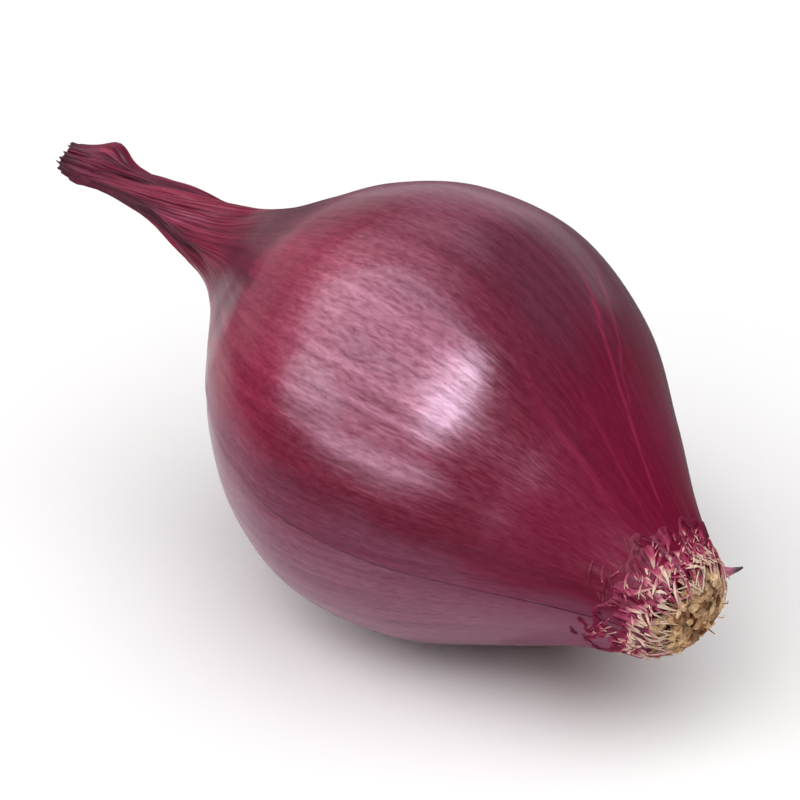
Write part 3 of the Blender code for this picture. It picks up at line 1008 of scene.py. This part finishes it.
plate_bm = bmesh.new()
plate_outline = [Vector((0, 0, PLATE_BACK)), Vector((PLATE_RADIUS, 0, PLATE_BACK))]
for ring in range(PLATE_RINGS + 1):
    swing = ring / PLATE_RINGS * math.pi / 2
    drop = PLATE_CROWN * math.sin(swing)
    plate_outline.append(Vector((PLATE_RADIUS * math.cos(swing), 0, PLATE_FACE - drop)))
plate_verts = [plate_bm.verts.new(point) for point in plate_outline]
spin_profile(plate_bm, plate_verts, PLATE_STEPS, SAME_POINT)
cork_plate = laid_piece("cork_plate", plate_bm)
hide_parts("root_plate")
print("plate:", len(cork_plate.data.polygons), "faces")

# %% Stubs of roots
ROOT_SEED = 13
STUBS = 170
DOME_RADIUS = 2.35
DOME_HEIGHT = 1.25
DOME_BASE = 1.75
DOME_MIDDLE = Vector((0, 0, DOME_BASE))
STUB_HALF = (0.12, 0.28)
STUB_REACH = (0.6, 1.5)
STUB_HUMP = (-0.1, 0.36)
STUB_ARCH, STUB_SINK = 2.6, 0.2
STUB_TAPER = (1.1, -0.4, 0)
STUB_UNEVEN = (0.75, 1.25)
STUB_FLATNESS = (0.6, 1.0)
STUB_BEND = 0.5
HEADING_DOWN = 0.6
ASLANT = Vector((0.3, 0.9, 0.2))


def on_dome(place):
    """A point pulled on to the dome of dried roots, from anywhere round it."""
    out = Vector((place.x / DOME_RADIUS, place.y / DOME_RADIUS, (place.z - DOME_BASE) / DOME_HEIGHT))
    out.normalize()
    return Vector((out.x * DOME_RADIUS, out.y * DOME_RADIUS, DOME_BASE + out.z * DOME_HEIGHT))


draw = random.Random(ROOT_SEED)
stubs = new_growth()
for index in range(STUBS):
    away = math.sqrt((index + 0.5) / STUBS)
    angle = index * GOLDEN_TURN
    place = polar(away, angle, -math.sqrt(1 - away**2))
    point = Vector((place.x * DOME_RADIUS, place.y * DOME_RADIUS, DOME_BASE + place.z * DOME_HEIGHT))
    heading = Vector((draw.gauss(0, 1), draw.gauss(0, 1), draw.gauss(0, HEADING_DOWN)))
    heading = (heading - place * heading.dot(place)).normalized()
    half = draw.uniform(*STUB_HALF)
    reach = draw.uniform(*STUB_REACH)
    hump = draw.uniform(*STUB_HUMP)
    path, sizes = [], []
    for share in SHARES:
        rise = hump * math.sin(share * STUB_ARCH) - STUB_SINK
        path.append(point + (point - DOME_MIDDLE).normalized() * rise)
        thick = half * tapered(STUB_TAPER, share) * draw.uniform(*STUB_UNEVEN)
        sizes.append((thick, thick * draw.uniform(*STUB_FLATNESS)))
        swerve = Vector((draw.gauss(0, 1), draw.gauss(0, 1), draw.gauss(0, 1)))
        heading = (heading + STUB_BEND * swerve).normalized()
        point = on_dome(point + heading * reach / (STATIONS - 1))
    stub_bm = new_growth()
    grow(stub_bm, path, sizes, ASLANT, draw.random())
    graft(stubs, stub_bm)
root_stubs = laid_piece("root_stubs", stubs)
print("root stubs:", len(root_stubs.data.polygons), "faces")

# %% [markdown]
# ## Curls over the rim, and threads
#
# Some strips of skin bend over the rim and lie on the roots, which hides the joint between the two.
# Each is an arc through three points: its foot on the skin, a shoulder outside the rim, and its tip
# on the dome. A few roots have dried to threads that reach out past the plate.

# %% Curls of skin over the rim of the roots
RIM_CURLS = 130
CURL_FEET = (1.7, 2.3)
CURL_SINK = 0.03
CURL_TURN = 0.35
CURL_INWARD = (0.5, 0.95)
CURL_TIP_HEIGHT = 0.9
CURL_TIP_RISE = (-0.05, 0.3)
CURL_DOWN = 0.6
CURL_OVER = (0.05, 0.35)
CURL_SWAY = 0.4
CURL_WIDER = 0.1
CURL_TAPER = (0.6, 1.2, 1.6)
CURL_PALENESS = (0.3, 1.5)

curls = new_growth()
for index in range(RIM_CURLS):
    angle = index * GOLDEN_TURN
    foot = on_skin(draw.uniform(*CURL_FEET), angle, -CURL_SINK)
    bent = angle + draw.gauss(0, CURL_TURN)
    inward = draw.uniform(*CURL_INWARD) * DOME_RADIUS
    rest = on_dome(polar(inward, bent, CURL_TIP_HEIGHT))
    out = (rest - DOME_MIDDLE).normalized()
    tip = rest + out * draw.uniform(*CURL_TIP_RISE)
    over = polar(1, angle, -CURL_DOWN) * draw.uniform(*CURL_OVER)
    shoulder = (foot + tip) / 2 + over + round_the_axis(angle) * draw.gauss(0, CURL_SWAY)
    half = FLAKE_HALF + CURL_WIDER * draw.random() ** 2
    path = [foot.lerp(shoulder, share).lerp(shoulder.lerp(tip, share), share) for share in SHARES]
    sizes = [(half * tapered(CURL_TAPER, share), FLAKE_THICKNESS) for share in SHARES]
    curl_bm = new_growth()
    grow(curl_bm, path, sizes, round_the_axis(bent), draw.uniform(*CURL_PALENESS))
    graft(curls, curl_bm)
rim_curls = laid_piece("rim_curls", curls)
torn_skins.append(rim_curls)
print("curls over the rim:", len(rim_curls.data.polygons), "faces")

# %% Threads
THREAD_ANGLES = (0.7, 1.1, 1.5, 2.0, 2.4, 5.6, 6.0)
THREAD_SHARES = (0, 0.25, 0.5, 0.75, 1)
THREAD_HALF = 0.035
THREAD_TAPER = (1.3, -0.8, 0)
THREAD_BEND = (-0.5, 0.5)
THREAD_REACH = (0.6, 1.1)
THREAD_FOOT, THREAD_SPAN = 1.3, 1.3
THREAD_DROP, THREAD_ARCH = 0.9, 2.2

threads = new_growth()
for angle in THREAD_ANGLES:
    bend = draw.uniform(*THREAD_BEND)
    reach = draw.uniform(*THREAD_REACH)
    path = []
    for share in THREAD_SHARES:
        turned = angle + bend * share**2
        away = THREAD_FOOT + THREAD_SPAN * reach * share
        drop = PLATE_FACE - THREAD_DROP * math.sin(share * THREAD_ARCH)
        path.append(polar(away, turned, drop))
    sizes = [(THREAD_HALF * tapered(THREAD_TAPER, share),) * 2 for share in THREAD_SHARES]
    grow(threads, path, sizes, ASLANT, draw.random())
root_threads = laid_piece("root_threads", threads)
print("threads:", len(root_threads.data.polygons), "faces")

# %% [markdown]
# ## Finishes of the torn skin and the roots
#
# Torn skin bleaches from its edge inwards, so its colour follows the age of each vertex, with some
# flakes paler than others. Dried roots are matt, dusty fibre. Each stub gets its own shade of
# straw, and all of them darken towards the foot with painted shade for the gaps between them.

# %% Torn skin
# Thin dead film, frayed and dusty: dull wine where it holds on, matt cream where it has bleached
BLOTCH_WIDTH = 0.35
AGE_BLEACH, BLOTCH_BLEACH = 1.1, 0.9

torn, tree, shader = new_finish(
    "torn_onion_scale_pink_to_cream", roughness=0.55, ior=PLANT_IOR, shine=FRAYED_SHINE
)
age = add(tree, "Attribute", {}, "Fac", attribute_name="age")
tint = add(tree, "Attribute", {}, "Fac", attribute_name="tint")
object_place = add(tree, "TexCoord", {}, "Object")
blotched = {"Vector": object_place, "Scale": 1 / (BLOTCH_WIDTH * MM), "Detail": 3.0}
blotch = add(tree, "TexNoise", blotched)
bleach = tint
for pattern, gain in ((age, AGE_BLEACH), (blotch, BLOTCH_BLEACH)):
    bleach = add(tree, "Math", {0: pattern, 1: gain, 2: bleach}, operation="MULTIPLY_ADD")
BLEACHING = (
    ("#A83C60", bleach, 0.9, 1.6, 1.0, "LINEAR"),
    ("#DCC2AC", bleach, 1.5, 2.1, 1.0, "LINEAR"),
)
colour = with_marks(tree, linear("#6A1532"), BLEACHING)
tree.links.new(colour, shader.inputs["Base Color"])
for piece in torn_skins:
    piece.data.materials.append(torn)
print("torn skin covers", len(torn_skins), "pieces")

# %% Withered tips
# Stiff, shrunken leaf: nearly black at the end, and on the spike a dusty pink that turns to ash grey.
# Tips: name, colour at the foot, colour at the tip, ages between which it changes, pieces
TIPS = (
    ("withered_leaf_end_dark_plum", "#64203A", "#33191E", 0.15, 0.9, leaf_ends),
    ("dry_shred_grey_tip", "#B46C82", "#4E4549", 0.4, 0.7, [dry_spike]),
)
for name, foot_colour, tip_colour, start, full, pieces in TIPS:
    finish, tree, shader = new_finish(name, roughness=0.6, ior=PLANT_IOR, shine=FRAYED_SHINE)
    age = add(tree, "Attribute", {}, "Fac", attribute_name="age")
    dried = [(tip_colour, age, start, full, 1.0, "LINEAR")]
    colour = with_marks(tree, linear(foot_colour), dried)
    tree.links.new(colour, shader.inputs["Base Color"])
    for piece in pieces:
        piece.data.materials.append(finish)
    print(name, "covers", len(pieces), "pieces")

# %% Dried roots
# Dead fibre with dust in its folds: matt straw with no highlight, darker at the foot with painted shade
DUST_WIDTH = 0.2
DUST_RELIEF = 0.06
# Shades: the pattern, its values where it starts and is full, and what they multiply by
# Painted shade: each stub darkens towards its foot, where the gaps between the roots are
FOOT_SHADE = (0.0, 0.5, 0.35, 1.0)
DUST_SHADE = (NOISE_LOW, NOISE_HIGH, 0.6, 1.2)

straw, tree, shader = new_finish(
    "dried_onion_root_straw", roughness=0.8, ior=PLANT_IOR, shine=FRAYED_SHINE
)
age = add(tree, "Attribute", {}, "Fac", attribute_name="age")
tint = add(tree, "Attribute", {}, "Fac", attribute_name="tint")
object_place = add(tree, "TexCoord", {}, "Object")
dusty = add(tree, "TexNoise", {"Vector": object_place, "Scale": 1 / (DUST_WIDTH * MM), "Detail": 3.0})
shade = add(tree, "Mix", {0: tint, 6: linear("#8A5430"), 7: linear("#EAC498")}, **COLOURS)
for pattern, (start, full, least, most) in ((age, FOOT_SHADE), (dusty, DUST_SHADE)):
    read = {"Value": pattern, "From Min": start, "From Max": full, "To Min": least, "To Max": most}
    part = add(tree, "MapRange", read)
    shade = add(tree, "Mix", {0: 1.0, 6: shade, 7: part}, **TINTED)
bump = add(tree, "Bump", {"Height": dusty, "Strength": 1.0, "Distance": DUST_RELIEF * MM})
tree.links.new(shade, shader.inputs["Base Color"])
tree.links.new(bump, shader.inputs["Normal"])
for piece in (root_stubs, root_threads):
    piece.data.materials.append(straw)
print("straw finish has", len(tree.nodes), "nodes")

# %% Cork
# Corky tissue full of tiny pores: matt brown, made dark so that the gaps between the roots show as
# painted shade
PORE_WIDTH = 0.3

cork, tree, shader = new_finish("dry_cork_brown", roughness=0.9, ior=PLANT_IOR, shine=FRAYED_SHINE)
object_place = add(tree, "TexCoord", {}, "Object")
grainy = add(tree, "TexNoise", {"Vector": object_place, "Scale": 1 / (PORE_WIDTH * MM), "Detail": 3.0})
brown = add(tree, "Mix", {0: grainy, 6: linear("#1E110A"), 7: linear("#5E4026")}, **COLOURS)
tree.links.new(brown, shader.inputs["Base Color"])
cork_plate.data.materials.append(cork)
print("cork finish has", len(tree.nodes), "nodes")

# %% [markdown]
# ## Floor and bounce card
#
# The onion lies on a plain white floor. In the photograph its left and lower edges are pale with
# the mirror image of something white, and its right edge stays dark. So the floor itself doesn't
# show in the gloss. A small white card on it does, and it reaches under the onion from the left
# and front only. Photographers call this a bounce card.

# %% Floor
FLOOR_RADIUS = 0.6
CARD_TURN = math.radians(-24)
CARD_RADIUS = 0.07
CARD_LIFT = 0.00005
FULL_CIRCLE_SIDES = 64


def stage_piece(name, bm):
    """A piece of the studio, made of the floor's paper."""
    piece = linked(name, new_mesh(name, bm))
    piece.data.materials.append(paper)
    return piece


# Uncoated paper: even, bright and without a highlight, so only the onion's shadow shows on it
paper, tree, shader = new_finish("matt_white_paper", roughness=0.9, ior=1.45, shine=FRAYED_SHINE)
shader.inputs["Base Color"].default_value = linear("#F4F3F3")
floor_bm = bmesh.new()
bmesh.ops.create_circle(floor_bm, cap_ends=True, segments=FULL_CIRCLE_SIDES, radius=FLOOR_RADIUS)
floor = stage_piece("floor", floor_bm)
floor.visible_glossy = False

card_bm = bmesh.new()
bmesh.ops.create_circle(
    card_bm,
    cap_ends=True,
    segments=FULL_CIRCLE_SIDES,
    radius=CARD_RADIUS,
    matrix=Matrix.Translation((0, 0, CARD_LIFT)),
)
bmesh.ops.bisect_plane(
    card_bm,
    geom=card_bm.verts[:] + card_bm.edges[:] + card_bm.faces[:],
    plane_co=(0, 0, 0),
    plane_no=(-math.sin(CARD_TURN), math.cos(CARD_TURN), 0),
    clear_outer=True,
)
bounce_card = stage_piece("bounce_card", card_bm)
bounce_card.visible_camera = False
bounce_card.visible_diffuse = False
bounce_card.visible_shadow = False
print("studio pieces:", floor.name, bounce_card.name)

# %% [markdown]
# ## Lights
#
# Two soft lights give the skin its even light from above and the left, and don't show in the
# gloss. The others only show in reflections, so that the highlight on the belly can be as bright
# as it is without bleaching the skin. It has two lobes, which are the mirror images of a wide haze
# to the left and of a small bright window over the camera. Each light is oval, because the rough
# skin blurs a corner anyway.

# %% Lights
WORLD_LIGHT = 0.14
LIGHT_DISTANCE = 0.5
# Lights: name, azimuth, elevation, roll, width, height, brightness, what they are seen in
LIGHTS = (
    ("left_key", -110, 48, 0, 68, 50, 2.1, "surfaces"),
    ("top_fill", 20, 75, 0, 80, 68, 1.9, "surfaces"),
    ("left_window", -119, 20, 0, 42, 25, 14.0, "reflections"),
    ("low_strip", -80, 9, 0, 54, 15, 24.0, "reflections"),
    ("camera_window", -48, 46, -32, 16, 42, 58.0, "reflections"),
    ("haze", -101, 55, 0, 92, 66, 14.5, "reflections"),
    ("haze_edge", -112, 55, 0, 118, 86, 2.5, "reflections"),
    ("sky", 180, 65, 0, 80, 64, 2.6, "reflections"),
    ("back_wall", 150, 12, 0, 116, 40, 0.8, "reflections"),
)


def softbox(name, azimuth, elevation, roll, wide, high, brightness, seen_in):
    """An oval light that faces the onion. Azimuth turns from +X towards +Y, and the angles and
    both its sizes are in degrees. Brightness 1 looks as bright as white paper. It either lights
    surfaces or shows in reflections."""
    turned, raised = math.radians(azimuth), math.radians(elevation)
    back = polar(math.cos(raised), turned, math.sin(raised))
    lamp = bpy.data.lights.new(name, "AREA")
    lamp.shape = "ELLIPSE"
    lamp.size = 2 * LIGHT_DISTANCE * math.tan(math.radians(wide / 2))
    lamp.size_y = 2 * LIGHT_DISTANCE * math.tan(math.radians(high / 2))
    area = math.pi / 4 * lamp.size * lamp.size_y
    lamp.energy = brightness * math.pi * area
    lit = linked(name, lamp)
    facing = back.to_track_quat("Z", "Y").to_matrix().to_4x4()
    spun = Matrix.Rotation(math.radians(roll), 4, "Z")
    lit.matrix_world = Matrix.Translation(back * LIGHT_DISTANCE) @ facing @ spun
    lit.visible_diffuse = seen_in == "surfaces"
    lit.visible_glossy = seen_in == "reflections"


for light in LIGHTS:
    softbox(*light)

world = bpy.data.worlds.new("studio")
world.use_nodes = True
world.node_tree.nodes["Background"].inputs["Color"].default_value = linear("#FFFFFF")
world.node_tree.nodes["Background"].inputs["Strength"].default_value = WORLD_LIGHT
bpy.context.scene.world = world
print("lights:", len(LIGHTS))

# %% [markdown]
# ## The camera
#
# The camera looks down on the onion from the photograph's direction. A long lens from a quarter of
# a metre away keeps its shape true and lets it fill the frame. It aims at the belly, moved a little
# sideways and up in the picture, so that neck and roots are both in view.

# %% Camera
SENSOR_WIDTH = 36
NEAREST = 0.01
VIEW_AZIMUTH = math.radians(46.1)
VIEW_ELEVATION = math.radians(34)
VIEW_DISTANCE = 0.241
VIEW_LENS = 226
AIM_HEIGHT = 18.0
AIM_RIGHT = -1.96
AIM_UP = 0.64

back = polar(math.cos(VIEW_ELEVATION), VIEW_AZIMUTH - math.pi / 2, math.sin(VIEW_ELEVATION))
right = polar(1, VIEW_AZIMUTH, 0)
up = back.cross(right)
aim = LAID_DOWN @ (axis_point(AIM_HEIGHT) * MM) + (right * AIM_RIGHT + up * AIM_UP) * MM
lens = bpy.data.cameras.new("camera")
lens.sensor_width = SENSOR_WIDTH
lens.lens = VIEW_LENS
lens.clip_start = NEAREST
camera = linked("camera", lens)
camera.matrix_world = (
    Matrix.Translation(aim + back * VIEW_DISTANCE) @ Matrix((right, up, back)).transposed().to_4x4()
)
bpy.context.scene.camera = camera
bpy.context.scene.view_settings.view_transform = "Standard"
print("the camera stands", VIEW_DISTANCE, "m away with a lens of", VIEW_LENS, "mm")
